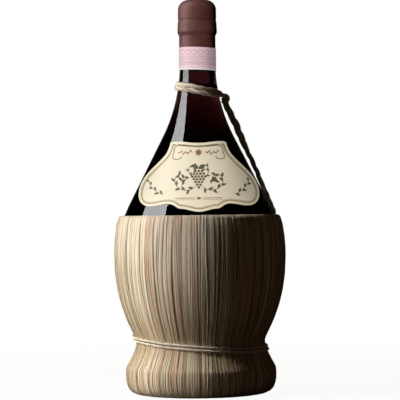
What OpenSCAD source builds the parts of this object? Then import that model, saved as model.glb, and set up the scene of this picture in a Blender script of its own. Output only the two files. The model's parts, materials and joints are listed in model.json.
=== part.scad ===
/* [Glass flask] */
// Height of the round glass bottom above the table
glass_base_z = 14; // [13:0.5:16]
// Radius of the glass bulb at its widest
bulb_r = 65.2; // [64.5:0.1:65.4]
// Height of the bulb's widest point
bulb_z = 108; // [106:1:110]
// Slope of the straight shoulder, from the vertical, in degrees
shoulder_angle = 26.9; // [26:0.1:28]
// Height where the straight shoulder turns into the curve of the neck
shoulder_z = 203; // [198:1:206]
// Height where the neck becomes straight
neck_z = 262; // [258:1:266]
// Outer radius of the straight neck
neck_r = 14; // [13.5:0.1:14.5]
// Thickness of the glass
glass_wall = 2.8; // [2.4:0.1:3.2]
// Height of the rim of the mouth
mouth_z = 294.3; // [292:0.5:298]
// Radius of the bore that holds the cork
bore_r = 9.25; // [9:0.05:9.5]
// Length of the narrow bore below the mouth
bore_depth = 18; // [15:1:20]
// Height of the finish ring round the mouth
ring_h = 9; // [7:0.5:11]
// How far the finish ring stands out from the neck
ring_out = 1.3; // [0.8:0.1:1.8]
// Height of the surface of the wine
wine_z = 258; // [250:1:260]

/* [Stopper] */
// Height of the stopper's head above the mouth
head_h = 15.9; // [13:0.1:18]
// Radius of the stopper's head
head_r = 14.75; // [14.2:0.05:15]
// Radius of the flat top of the head
head_flat_r = 6.6; // [6:0.2:9]
// Height of the rounded shoulder of the head
head_round_h = 7; // [5:0.5:8]
// Length of the cork below the mouth
cork_l = 24; // [20:1:28]
// Depth of the glued socket in the head
socket_h = 7; // [5:1:8]
// Chamfer at the lower end of the cork
cork_chamfer = 1; // [0.5:0.5:2]

/* [Capsule and neck strip] */
// Thickness of the shrunk capsule
capsule_t = 0.3; // [0.25:0.05:0.4]
// Height of the capsule's lower edge
capsule_z = 262.5; // [262:0.5:268]
// Open line where the capsule tears
tear_gap = 0.3; // [0.2:0.1:0.6]
// Radius of the disc on top, under the rolled edge
disc_r = 6.4; // [5.8:0.1:6.4]
// Thickness of the top disc
disc_t = 0.3; // [0.2:0.1:0.4]
// Radius of the hole inside the rolled edge
roll_r = 5; // [4:0.5:5.5]
// Middle height of the paper strip round the neck
strip_z = 263.9; // [261:0.1:266]
// Height of the paper strip
strip_h = 17.8; // [14:0.2:20]
// Slant of the paper strip, in degrees
strip_slant = 2; // [0:0.5:3]
// Thickness of paper
paper_t = 0.2; // [0.15:0.05:0.3]

/* [Front label] */
// Half width of the label across its lobes
label_half_w = 47.2; // [42:0.2:48]
// Half width of the label's top edge
label_top_w = 18.3; // [14:0.1:20]
// How far the label widens round its upper corners
label_corner = 4; // [3:0.5:5]
// How far the middle of the label's top edge dips
label_dip = 1.5; // [0.5:0.5:3]
// Height of the label's lowest tip
label_tip_z = 143.6; // [143:0.1:146]
// Height of the label's upper corners
label_top_z = 198.5; // [192:0.5:200]

/* [Straw basket] */
// Number of leaves in each layer
leaves = 56; // [36:4:64]
// Thickness of a leaf
leaf_t = 0.9; // [0.7:0.1:1]
// Open line between two leaves, at the belly
leaf_gap = 0.5; // [0.3:0.1:1]
// How far the proudest leaves stand out
leaf_relief = 0.4; // [0:0.1:0.5]
// Share by which the widths of the leaves differ
leaf_vary = 0.32; // [0:0.02:0.4]
// Height of the folded rim
rim_z = 141; // [140:0.2:142]
// Room between the glass and the folded rim
rim_room = 1.3; // [0.8:0.1:1.6]
// Outer radius of the fold's bend
fold_r = 1.9; // [1.8:0.05:2]
// Length of the leaf ends tucked down inside the rim
tuck_l = 7; // [4:0.5:8]
// Room between the glass and the straw at the belly
belly_room = 0.4; // [0.3:0.05:0.8]
// Height of the belly
belly_z = 109; // [107:1:111]
// Room between the glass and the straw at the tied waist
waist_room = 2.4; // [2:0.1:3]
// Height of the waist
waist_z = 41.8; // [40.6:0.2:42.6]
// How far the foot flares out from the waist
foot_flare = 8.65; // [7:0.05:9.5]
// Height where the foot is widest
foot_z = 16; // [14:0.5:18]
// How far the flat sole lies inside the foot's widest line
sole_in = 10.35; // [9:0.05:12]
// Radius where the leaves end under the sole
sole_end_r = 36; // [35:0.5:40]
// Inner radius of the straw ring inside the foot
core_r = 33; // [30:0.5:34]
// Height of the top of the straw ring
core_z = 35; // [30:0.5:38]

/* [Ties] */
// Radius of a strand of the waist tie
tie_r = 1; // [0.8:0.1:1.1]
// Mean height of the waist tie's first turn
tie_z = 42.8; // [42:0.1:43.4]
// Rise of the waist tie towards the left
tie_left = 3.3; // [2:0.1:4]
// Rise of the waist tie towards the back
tie_back = 3.6; // [2:0.1:4]
// Distance between the turns of the waist tie
tie_step = 3; // [2.7:0.1:3.4]
// Radius of the neck cord
cord_r = 1.5; // [1.3:0.1:1.5]
// Height of the neck cord's first turn at the right
cord_z = 239.2; // [239.2:0.1:240.2]
// Rise of the neck cord towards the left
cord_rise = 6.1; // [4:0.1:7]
// Distance between the turns of the neck cord
cord_step = 3.5; // [3.5:0.1:3.8]
// Radius of the sling cord at its thickest
sling_r = 2.6; // [2.3:0.1:2.6]

/* [Hidden] */

// Clearances: a close fit, a layer lying on another, and a piece resting by its seat
fit = 0.05;
lay = 0.1;
seat = 0.3;
far = 400;
fine = 96;

function unit(v) = v / norm(v);
function clamp(x) = max(0, min(1, x));
function total(v, n) = n < 1 ? 0 : v[n - 1] + total(v, n - 1);
function reversed(p) = [for (i = [len(p) - 1 : -1 : 0]) p[i]];
function run_dir(p, i) = unit(p[min(i + 1, len(p) - 1)] - p[max(i - 1, 0)]);
function bezier(p, n, from = 0) = [for (i = [from : n]) let (t = i / n, s = 1 - t)
    s * s * s * p[0] + 3 * s * s * t * p[1] + 3 * s * t * t * p[2] + t * t * t * p[3]];
// A path in the plane of radius and height, moved outwards by d along its own normals
function shifted(p, d) = [for (i = [0 : len(p) - 1]) let (t = run_dir(p, i)) p[i] + d * [-t.y, t.x]];
// The closed outline of a strip of thickness t whose middle lies d outside the path
function ribbon(p, t, d = 0) = concat(shifted(p, d + t / 2), reversed(shifted(p, d - t / 2)));
// The radius at which a cord of radius r, at height z, just clears a round surface
function hug_r(table, z, r) = max([for (a = [-75 : 15 : 75]) lookup(z + r * sin(a), table) + r * cos(a)]);
function around(r, a, z) = [r * cos(a), r * sin(a), z];

// The glass surface, and any surface a distance w inside it, is an elliptic bulb that runs
// tangent into a straight shoulder, and then an arc that runs tangent into the neck
neck_arc = (neck_z - shoulder_z) / sin(shoulder_angle);
cone_r = neck_r + neck_arc * (1 - cos(shoulder_angle)) + tan(shoulder_angle) * (shoulder_z - bulb_z);
function tangent_angle(w) = acos((bulb_r - w) / (cone_r - w / cos(shoulder_angle)));
function bulb_rise(w) = (bulb_r - w) * tan(tangent_angle(w)) / tan(shoulder_angle);
bulb_steps = 14;
rise_steps = 5;
arc_steps = 10;
function skin(w) = concat(
    [for (i = [0 : bulb_steps]) let (a = 90 * (1 - i / bulb_steps))
        [(bulb_r - w) * cos(a), bulb_z - (bulb_z - glass_base_z - w) * sin(a)]],
    [for (i = [1 : rise_steps]) let (a = tangent_angle(w) * i / rise_steps)
        [(bulb_r - w) * cos(a), bulb_z + bulb_rise(w) * sin(a)]],
    [for (i = [0 : arc_steps]) let (a = shoulder_angle * (1 - i / arc_steps))
        [neck_r + neck_arc - (neck_arc + w) * cos(a), neck_z - (neck_arc + w) * sin(a)]]
);
glass_table = [for (p = skin(0)) [p.y, p.x]];
function glass_r(z) = lookup(z, glass_table);

// The finish: a ledge below, a taper towards the mouth and a rounded lip
ring_z = mouth_z - ring_h;
ring_r = neck_r + ring_out;
ledge_h = 3;
ring_taper = 0.35;
lip = 1.4;
lip_r = ring_r - ring_taper - lip / 2;
finish = [
    [neck_r, ring_z - ledge_h], [ring_r, ring_z], [ring_r - ring_taper, mouth_z - lip],
    [lip_r + lip / 4, mouth_z - lip / 4], [lip_r, mouth_z]
];
bore_taper = 8;

module glass_flask() {
    color("darkslategray") rotate_extrude($fn = fine) polygon(concat(
        skin(0),
        finish,
        [[bore_r, mouth_z], [bore_r, mouth_z - bore_depth],
            [neck_r - glass_wall, mouth_z - bore_depth - bore_taper]],
        reversed(skin(glass_wall))
    ));
}

module wine() {
    color("maroon") intersection() {
        rotate_extrude($fn = fine) polygon(concat(skin(glass_wall + lay), [[0, neck_z]]));
        cylinder(h = wine_z, r = far, $fn = fine);
    }
}

// The head's rounded shoulder is a quarter of an ellipse, d outside it and lifted on top
head_z = mouth_z + head_h;
head_foot = 1.5;
head_steps = 7;
function head_round(d = 0, lift = 0) = [for (i = [0 : head_steps]) let (a = 90 * i / head_steps) [
    head_flat_r + (head_r - head_flat_r + d) * cos(a),
    head_z - head_round_h + (head_round_h + d + lift) * sin(a)
]];

module stopper_head() {
    color("saddlebrown") difference() {
        rotate_extrude($fn = fine) polygon(concat(
            [[0, mouth_z], [head_r - head_foot / 3, mouth_z], [head_r, mouth_z + head_foot]],
            head_round(),
            [[0, head_z]]
        ));
        translate([0, 0, mouth_z - head_foot]) cylinder(h = socket_h + head_foot, r = bore_r, $fn = fine);
    }
}

module stopper_cork() {
    cork_r = bore_r - fit;
    bottom_z = mouth_z - cork_l;
    top_z = mouth_z + socket_h - fit;
    color("burlywood") rotate_extrude($fn = fine) polygon([
        [0, bottom_z], [cork_r - cork_chamfer, bottom_z], [cork_r, bottom_z + cork_chamfer],
        [cork_r, top_z], [0, top_z]
    ]);
}

// The shrunk capsule parts at the tear line into a head over the stopper and a skirt over
// the finish, and the head's rolled edge holds a disc down on the stopper
disc_room = disc_t + lay;
capsule_r = head_r + fit;
head_edge_z = mouth_z + lay + tear_gap;
nip = 0.15;

module capsule_head() {
    top_z = head_z + fit + disc_room;
    color([0.32, 0.19, 0.19]) rotate_extrude($fn = fine) polygon(concat(
        [[capsule_r, head_edge_z], [capsule_r + capsule_t - nip, head_edge_z],
            [capsule_r + capsule_t, head_edge_z + head_foot]],
        head_round(fit + capsule_t, disc_room),
        [[roll_r, top_z + capsule_t], [roll_r, top_z]],
        reversed(head_round(fit, disc_room))
    ));
}

module capsule_disc() {
    color([0.36, 0.22, 0.22]) translate([0, 0, head_z]) cylinder(h = disc_t, r = disc_r, $fn = fine);
}

// The outline of a sleeve drawn over the finish, d outside it
function sleeve(d) = [
    [neck_r + d, capsule_z], [neck_r + d, ring_z - ledge_h], [ring_r + d, ring_z],
    [ring_r - ring_taper + d, mouth_z - lip], [lip_r + lip / 4 + d, mouth_z + lay]
];

module capsule_skirt() {
    color([0.32, 0.19, 0.19]) rotate_extrude($fn = fine)
        polygon(concat(sleeve(fit), reversed(sleeve(fit + capsule_t))));
}

// The paper strip lies over the capsule's lower edge and, below that, on the glass
module neck_strip() {
    reach = strip_h;
    strip_in = neck_r + fit + capsule_t + lay;
    color([0.93, 0.82, 0.84]) intersection() {
        rotate_extrude($fn = fine) polygon([
            [strip_in, strip_z - reach], [strip_in + paper_t, strip_z - reach],
            [strip_in + paper_t, strip_z + reach], [strip_in, strip_z + reach]
        ]);
        translate([0, 0, strip_z]) rotate([0, strip_slant, 0])
            cube([2 * far, 2 * far, strip_h], center = true);
    }
}

// Half of the label's outline, on a scale from its middle to its lobe and from its tip to its
// upper corners: a pointed tip, a scalloped lower edge, round lobes and a narrow waisted top
label_h = label_top_z - label_tip_z;
label_curves = [
    [[0, 0], [0.11, 0], [0.19, 0.045], [0.3, 0.045]],
    [[0.3, 0.045], [0.37, 0.045], [0.39, 0.115], [0.5, 0.115]],
    [[0.5, 0.115], [0.62, 0.115], [0.72, 0.075], [0.83, 0.085]],
    [[0.83, 0.085], [0.94, 0.095], [1, 0.17], [1, 0.26]],
    [[1, 0.26], [1, 0.41], [0.89, 0.53], [0.75, 0.64]],
    [[0.75, 0.64], [0.61, 0.75], [0.51, 0.82], [0.48, 0.92]]
];
label_half = concat(
    [for (c = label_curves) each bezier([for (p = c) [p.x * label_half_w, label_tip_z + p.y * label_h]], 5, 1)],
    bezier([[label_top_w + label_corner, label_top_z - label_corner], [label_top_w + label_corner, label_top_z],
        [label_top_w + label_corner / 2, label_top_z], [label_top_w, label_top_z]], 3),
    bezier([[label_top_w, label_top_z], [label_top_w * 0.6, label_top_z],
        [label_top_w * 0.4, label_top_z - label_dip], [0, label_top_z - label_dip]], 4, 1)
);

module front_label() {
    mirrored = [for (p = reversed(label_half)) if (p.x > 0) [-p.x, p.y]];
    color([0.92, 0.88, 0.78]) intersection() {
        rotate_extrude($fn = fine) polygon(concat(skin(-lay - paper_t), reversed(skin(-lay))));
        rotate([90, 0, 0]) linear_extrude(far) polygon(concat([[0, label_tip_z]], label_half, mirrored));
    }
}

// One leaf's path, on its middle, runs down from the rim over the belly, is drawn in at the
// waist, flares over the foot and turns under the sole
layers = 1.5 * leaf_t + lay;
fold_in = fold_r - leaf_t / 2;
fold_c = [glass_r(rim_z - fold_r) + rim_room + fold_r, rim_z - fold_r];
belly_r = bulb_r + belly_room + layers;
waist_r = glass_r(waist_z) + waist_room + layers;
foot_r = waist_r + foot_flare;
sole_r = foot_r - sole_in;
// How far each curve of the leaf keeps straight on at its ends
rim_pull = [0.8, -6];
belly_pull = [14, 42];
waist_pull = [6, 9];
foot_pull = [9, 9];
sole_pull = 6.5;
// Last step of the bend, inside which the sole is flat
sole_turn = 1;
belly = [belly_r, belly_z];
waist = [waist_r, waist_z];
foot = [foot_r, foot_z];
sole = [sole_r, leaf_t / 2];
leaf_path = concat(
    bezier([fold_c + [fold_in, 0], fold_c + [fold_in, 0] + rim_pull, belly + [0, belly_pull[0]], belly], 5),
    bezier([belly, belly - [0, belly_pull[1]], waist + [0, waist_pull[0]], waist], 8, 1),
    bezier([waist, waist - [0, waist_pull[1]], foot + [0, foot_pull[0]], foot], 6, 1),
    bezier([foot, foot - [0, foot_pull[1]], sole + [sole_pull, 0], sole], 5, 1),
    [[sole_r - sole_turn, leaf_t / 2], [sole_end_r, leaf_t / 2]]
);
tuck_z = fold_c.y - tuck_l;
fold_path = concat(
    [[glass_r(tuck_z) + seat + leaf_t / 2, tuck_z]],
    [for (a = [180 : -45 : 45]) fold_c + fold_in * [cos(a), sin(a)]]
);
inner_shift = leaf_t + lay;
rim_fade = 20;
// Some leaves stand proud between the foot and the rim
function proud(p, lift) = [for (q = p) q + [lift * clamp(min(q.y / foot_z, (rim_z - q.y) / rim_fade)), 0]];

// The leaves' widths differ by a rule, and each pair keeps the same open line
turn = 137.5;
widths = [for (i = [0 : leaves - 1]) 1 + leaf_vary * sin(turn * i)];
gap_angle = leaf_gap / belly_r * 180 / PI;
function leaf_start(i) = 360 * total(widths, i) / total(widths, leaves);
function leaf_middle(i) = (leaf_start(i) + leaf_start(i + 1)) / 2;
function leaf_lift(i) = leaf_relief * (0.5 + 0.5 * sin(turn * 3 * i));

module leaf(outline, from, to) {
    rotate_extrude(start = from + gap_angle / 2, angle = to - from - gap_angle, $fn = 2 * fine) polygon(outline);
}

// A wound cord's straight steps cut a little inside its points, which stand out by that much
loop_steps = 24;
wound_sides = 6;
chord_room = 1 / cos(180 / loop_steps);

// The ends of the waist tie go in through the straw
tie_turns = 2;
tie_start = 70;
straw_table = [for (p = shifted(leaf_path, leaf_t / 2)) if (p.y > foot_z) [p.y, p.x + leaf_relief]];
function tie_height(a) = tie_z - tie_left * cos(a) + tie_back * sin(a) - tie_step * (a - tie_start) / 360;
function tie_point(a, in = 0) = let (z = tie_height(a))
    around((hug_r(straw_table, z, tie_r) + lay) * chord_room - in, a, z);
tie_end = tie_start + 360 * tie_turns;
tie_room = 0.7;

module tie_holes() {
    for (a = [tie_start, tie_end])
        translate([0, 0, tie_height(a)]) rotate([0, 90, a]) cylinder(h = far, r = tie_r + tie_room, $fn = 32);
}

module straw_outer() {
    color([0.86, 0.79, 0.64]) difference() {
        for (i = [0 : leaves - 1]) leaf(ribbon(concat(fold_path, proud(leaf_path, leaf_lift(i))), leaf_t),
            leaf_start(i), leaf_start(i + 1));
        tie_holes();
    }
}

module straw_inner() {
    below_rim = [for (i = [1 : len(leaf_path) - 1]) leaf_path[i]];
    color([0.72, 0.63, 0.47]) difference() {
        for (i = [0 : leaves - 1]) let (next = i < leaves - 1 ? leaf_middle(i + 1) : leaf_middle(0) + 360)
            leaf(ribbon(below_rim, leaf_t, -inner_shift), leaf_middle(i), next);
        tie_holes();
    }
}

module rim_hoop() {
    color("tan") rotate_extrude($fn = fine) translate(fold_c) circle(r = fold_r - leaf_t - 2 * lay, $fn = 24);
}

// The straw ring fills the foot and carries the round bottom of the glass
module foot_ring() {
    color("peru") rotate_extrude($fn = fine) difference() {
        intersection() {
            polygon(concat(shifted(leaf_path, -layers - lay), [[0, layers + leaf_t / 2 + lay], [0, rim_z]]));
            translate([core_r, 0]) square([far, core_z]);
        }
        polygon(concat(skin(-seat), [[0, neck_z]]));
    }
}

// A round cord swept along points, with one radius or one for each point; its rings stand
// square to the path, turned from "up"
module cord(path, r, sides, up = [0, 0, 1]) {
    n = len(path);
    rings = [for (i = [0 : n - 1]) let (t = run_dir(path, i), u = unit(cross(t, up)), v = cross(u, t))
        each [for (k = [0 : sides - 1]) let (a = 360 * k / sides) path[i] + (is_num(r) ? r : r[i]) * (cos(a) * u + sin(a) * v)]];
    sides_of = [for (i = [0 : n - 2], k = [0 : sides - 1])
        let (a = i * sides + k, b = i * sides + (k + 1) % sides) each [[a, a + sides, b], [b, a + sides, b + sides]]];
    caps = [for (k = [1 : sides - 2])
        each [[0, k, k + 1], [(n - 1) * sides, (n - 1) * sides + k + 1, (n - 1) * sides + k]]];
    polyhedron(rings, concat(sides_of, caps));
}

// The least gap of a cord to itself, between points more than skip steps apart
function self_gap(p, r, skip) =
    min([for (i = [0 : len(p) - 1 - skip], j = [i + skip : len(p) - 1]) norm(p[i] - p[j])]) - 2 * r;

bend = 2 * tie_r;
dive = 3.9;
tie_bend_a = bend / waist_r * 180 / PI;
tie_path = concat(
    [for (in = [dive, dive - bend]) tie_point(tie_start, in)],
    [tie_point(tie_start + tie_bend_a * 0.3, bend * 0.3), tie_point(tie_start + tie_bend_a, 0)],
    [for (i = [1 : tie_turns * loop_steps - 1]) tie_point(tie_start + 360 * i / loop_steps)],
    [tie_point(tie_end - tie_bend_a, 0), tie_point(tie_end - tie_bend_a * 0.3, bend * 0.3)],
    [for (in = [dive - bend, dive]) tie_point(tie_end, in)]
);

module waist_tie() {
    color("wheat") cord(tie_path, tie_r, wound_sides);
}

// The neck cord winds twice round the glass from the right, then goes out round the sling's
// upper end and back to the glass
cord_turns = 2;
cord_start = 6;
cord_off = 40;
function cord_height(a) = cord_z - cord_step * a / 360 + cord_rise * (1 - cos(a)) / 2;
function cord_point(a) = let (z = cord_height(a)) around((hug_r(glass_table, z, cord_r) + lay) * chord_room, a, z);
hitch = [
    [14.9, -12.3, 233.2], [18.1, -9.2, 232.5], [21.2, -6.6, 231.9], [23.6, -3.4, 231.2], [24.5, 0.2, 230.5],
    [24.7, 3, 229.9], [24.6, 5.3, 229.4], [24, 6.9, 229], [22.8, 7.7, 228.8], [21.2, 7.6, 228.7],
    [18.4, 6.6, 228.7]
];
neck_path = concat(
    [for (i = [0 : cord_turns * loop_steps]) let (a = cord_start + 360 * i / loop_steps)
        if (a < 360 * cord_turns - cord_off) cord_point(a)],
    hitch
);

module neck_cord() {
    color("wheat") cord(neck_path, cord_r, wound_sides);
}

// The sling runs from under the neck cord down past the glass, and ends on the folded rim.
// With each point stands its share of the sling's full radius
sling_points = [
    [[20.4, 0, 232.3], 0.73], [[20.4, 0, 229.6], 0.73], [[21, 0, 227.6], 0.77], [[22.3, 0, 225.4], 0.88],
    [[24.1, 0, 222.6], 0.96], [[26.2, 0, 218.6], 1], [[28.6, 0, 214], 1], [[30.9, 0, 209], 1],
    [[33, 0, 204.2], 0.98], [[36.4, 0, 195.6], 0.92], [[39, 0, 190], 0.84], [[41.5, 0, 185], 0.84],
    [[43.8, -0.6, 180], 0.84], [[45.9, -2, 175], 0.84], [[47.7, -4.4, 170], 0.84], [[49.6, -7.4, 165], 0.84],
    [[51.7, -10.4, 160], 0.84], [[53.6, -13.4, 155], 0.84], [[55, -16.6, 151], 0.84], [[56.4, -19.4, 147.6], 0.8],
    [[57.9, -21.8, 144.9], 0.76], [[57.9, -21.8, 141.3], 0.73]
];
sling_path = [for (p = sling_points) p[0]];

module sling_cord() {
    color("wheat") cord(sling_path, [for (p = sling_points) p[1] * sling_r], 8, [0, 1, 0]);
}

echo(waist_tie_gap = self_gap(tie_path, tie_r, 12), neck_cord_gap = self_gap(neck_path, cord_r, 6));

glass_flask();
wine();
stopper_head();
stopper_cork();
capsule_head();
capsule_disc();
capsule_skirt();
neck_strip();
front_label();
straw_outer();
straw_inner();
rim_hoop();
foot_ring();
waist_tie();
neck_cord();
sling_cord();
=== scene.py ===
import json
from math import atan2, cos, degrees, exp, pi, radians, sin, sqrt, tan, tau

import bmesh
import bpy
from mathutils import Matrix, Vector
from mathutils.bvhtree import BVHTree

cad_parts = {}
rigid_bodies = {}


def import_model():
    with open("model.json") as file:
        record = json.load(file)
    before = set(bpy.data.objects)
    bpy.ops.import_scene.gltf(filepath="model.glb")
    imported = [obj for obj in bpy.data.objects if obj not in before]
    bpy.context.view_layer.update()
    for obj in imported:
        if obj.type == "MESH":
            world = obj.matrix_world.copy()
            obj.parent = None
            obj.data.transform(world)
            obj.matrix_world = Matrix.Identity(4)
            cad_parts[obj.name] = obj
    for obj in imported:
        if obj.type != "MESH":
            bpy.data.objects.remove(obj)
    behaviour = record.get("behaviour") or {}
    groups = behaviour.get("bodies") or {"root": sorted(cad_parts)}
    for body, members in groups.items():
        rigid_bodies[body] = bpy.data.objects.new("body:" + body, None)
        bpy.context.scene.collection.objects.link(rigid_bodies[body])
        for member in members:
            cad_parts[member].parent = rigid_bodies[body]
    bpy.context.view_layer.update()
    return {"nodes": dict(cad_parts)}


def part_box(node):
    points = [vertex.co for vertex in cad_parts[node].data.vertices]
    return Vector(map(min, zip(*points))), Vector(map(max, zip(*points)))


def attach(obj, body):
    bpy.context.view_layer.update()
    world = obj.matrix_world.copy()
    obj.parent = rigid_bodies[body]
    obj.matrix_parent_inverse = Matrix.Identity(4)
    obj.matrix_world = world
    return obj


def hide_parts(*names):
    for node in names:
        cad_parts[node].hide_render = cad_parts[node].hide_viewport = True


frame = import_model()
MM = 0.001


# Node trees

def arithmetic(operation, swapped=False):
    """A method that adds a Math node, with the socket first or, when swapped, second."""
    def method(self, other):
        return self.nodes.math(operation, *((other, self) if swapped else (self, other)))
    return method


class Socket:
    """An output of a node. Arithmetic on it adds Math nodes to its tree."""

    def __init__(self, nodes, socket):
        self.nodes = nodes
        self.socket = socket

    def out(self, name):
        return Socket(self.nodes, self.socket.node.outputs[name])

    __add__, __radd__ = arithmetic("ADD"), arithmetic("ADD", True)
    __sub__, __rsub__ = arithmetic("SUBTRACT"), arithmetic("SUBTRACT", True)
    __mul__, __rmul__ = arithmetic("MULTIPLY"), arithmetic("MULTIPLY", True)
    __truediv__ = arithmetic("DIVIDE")


class Nodes:
    """A node tree that is written with calls and arithmetic."""

    def __init__(self, tree):
        self.tree = tree

    def add(self, kind, inputs=(), output=0, **settings):
        """A node with values or sockets on its inputs, and its settings."""
        node = self.tree.nodes.new(kind)
        for name, value in settings.items():
            setattr(node, name, value)
        self.feed(node, dict(inputs))
        return Socket(self, node.outputs[output]) if len(node.outputs) else node

    def feed(self, node, inputs):
        for key, value in inputs.items():
            if isinstance(value, Socket):
                self.tree.links.new(value.socket, node.inputs[key])
            else:
                node.inputs[key].default_value = opaque(value)

    def math(self, operation, *values):
        return self.add("ShaderNodeMath", enumerate(values), operation=operation)

    def vector(self, x=0.0, y=0.0, z=0.0):
        return self.add("ShaderNodeCombineXYZ", {"X": x, "Y": y, "Z": z})

    def parts(self, vector):
        split = self.add("ShaderNodeSeparateXYZ", {0: vector})
        return split, split.out("Y"), split.out("Z")

    def noise(self, place, scale, detail=2.0, roughness=0.5):
        """Noise at a place, which is a vector's socket or three numbers or sockets."""
        vector = self.vector(*place) if isinstance(place, tuple) else place
        return self.add("ShaderNodeTexNoise", {
            "Vector": vector, "Scale": scale, "Detail": detail, "Roughness": roughness})

    def waver(self, *place):
        """Smooth noise about zero."""
        return self.noise(place, 1.0, 1.0) - 0.5

    def blend(self, factor, first, second):
        """A mix of two colours."""
        return self.add("ShaderNodeMix", {
            0: factor, 6: first, 7: second}, output=2, data_type="RGBA")

    def place(self):
        """Where a point lies on its object."""
        return self.add("ShaderNodeTexCoord").out("Object")

    def layers(self, body, *rows):
        """A colour with others laid over it in turn, as (mask, share, colour)."""
        for mask, share, colour in rows:
            body = self.blend(mask * share, body, colour)
        return body

    def ramp(self, factor, stops):
        """A colour ramp from (place, colour) pairs."""
        result = self.add("ShaderNodeValToRGB", {"Fac": factor})
        elements = result.socket.node.color_ramp.elements
        for place, colour in stops[1:-1]:
            elements.new(place)
        for element, (place, colour) in zip(elements, stops):
            element.position = place
            element.color = opaque(colour)
        return result

    def step(self, value, low, high):
        """0 below low, 1 above high and smooth between them."""
        return self.add("ShaderNodeMapRange", {
            "Value": value, "From Min": low, "From Max": high}, interpolation_type="SMOOTHSTEP")

    def bump(self, height, distance, strength=1.0):
        return self.add("ShaderNodeBump", {"Height": height, "Distance": distance, "Strength": strength})


def rgb(red, green, blue):
    """A colour as seen on a screen, 0 to 255, as the linear colour that a material takes."""
    return tuple(((c / 255 + 0.055) / 1.055) ** 2.4 if c > 10 else c / 255 / 12.92
                 for c in (red, green, blue))


def opaque(value):
    """A colour with its alpha. Any other value stays as it is."""
    return (*value, 1.0) if isinstance(value, tuple) else value


def material(name, paint):
    """A new material. paint gets its nodes, and says what feeds the Principled shader."""
    made = bpy.data.materials.new(name)
    made.use_nodes = True
    nodes = Nodes(made.node_tree)
    nodes.feed(made.node_tree.nodes["Principled BSDF"], paint(nodes))
    return made


def attributes(nodes, *names):
    """What Geometry Nodes stored on the mesh under each name."""
    return [nodes.add("ShaderNodeAttribute", attribute_name=name).out("Fac") for name in names]


# Materials

def bottle_glass(nodes):
    """Smooth bottle glass with a green tint and a faint film of handling."""
    film = nodes.noise(nodes.place(), 90.0, 3.0)
    return {"Base Color": (0.50, 0.56, 0.46), "Roughness": nodes.step(film, 0.45, 0.9) * 0.05,
            "IOR": 1.5, "Transmission Weight": 1.0}


def red_wine(nodes):
    """Clear wine with faint clouds. Its colour comes from the absorption in add_wine."""
    clouds = nodes.noise(nodes.place(), 25.0)
    return {"Base Color": nodes.blend(clouds, (0.95, 0.86, 0.86), (1.0, 0.94, 0.94)),
            "Roughness": 0.0, "IOR": 1.34, "Transmission Weight": 1.0}


def capsule_skin(nodes):
    """Shrunk satin capsule: brown maroon, with faint pulled lines and rubbed patches."""
    place = nodes.place()
    x, y, z = nodes.parts(place)
    pulled = nodes.noise((x, y, z * 0.12), 420.0, 3.0)
    rubbed = nodes.noise(place, 60.0, 4.0)
    tone = nodes.blend(nodes.step(rubbed, 0.35, 0.7), rgb(92, 54, 50), rgb(106, 66, 60))
    return {"Base Color": tone, "Roughness": 0.46 + rubbed * 0.14, "Specular IOR Level": 0.35,
            "Normal": nodes.bump(pulled + rubbed * 1.5, 0.00008)}


def strip_paper(nodes):
    """Pink paper with a pale lower edge and rows of fine crossing waves."""
    x, y, z = nodes.parts(nodes.place())
    turn = nodes.math("ARCTAN2", x, y * -1.0)
    height = (z - STRIP_Z + x * tan(radians(STRIP_SLANT))) / (STRIP_H / 2)
    fibres = nodes.noise((x, y, z), 900.0, 3.0)
    rows = None
    for middle, reach, waves, shift in STRIP_WAVES:
        for start in (shift, shift + 3.14):
            swing = nodes.math("SINE", turn * waves + start) * reach
            line = 1.0 - nodes.step(nodes.math("ABSOLUTE", height - middle - swing), 0.02, 0.05)
            rows = line if rows is None else nodes.math("MAXIMUM", rows, line)
    pink = nodes.blend(nodes.step(fibres, 0.3, 0.7), rgb(240, 203, 212), rgb(248, 216, 223))
    printed = nodes.blend(rows * 0.5, pink, rgb(120, 86, 98))
    edged = nodes.blend(nodes.step(height, -0.86, -0.82), rgb(246, 238, 236), printed)
    return {"Base Color": edged, "Roughness": 0.62, "Normal": nodes.bump(fibres, 0.00003)}


def label_paper(nodes):
    """Cream laid paper, a little darker and warmer in patches."""
    place = nodes.place()
    x, y, z = nodes.parts(place)
    laid = nodes.math("SINE", z * 9000.0)
    fibres = nodes.noise((x * 0.5, y, z), 1400.0, 3.0)
    patches = nodes.noise(place, 35.0, 3.0)
    cream = nodes.blend(patches, rgb(247, 236, 209), rgb(239, 226, 195))
    return {"Base Color": cream, "Roughness": 0.6, "Normal": nodes.bump(fibres + laid * 0.15, 0.00004)}


def ink(name, colour, worn, gloss):
    """Printing ink or foil that is a little thin in places."""
    def paint(nodes):
        thin = nodes.noise(nodes.place(), 700.0, 2.0)
        return {"Base Color": nodes.blend(nodes.step(thin, 0.4, 0.75), colour, worn),
                "Roughness": gloss + thin * 0.1}
    return material(name, paint)


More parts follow.
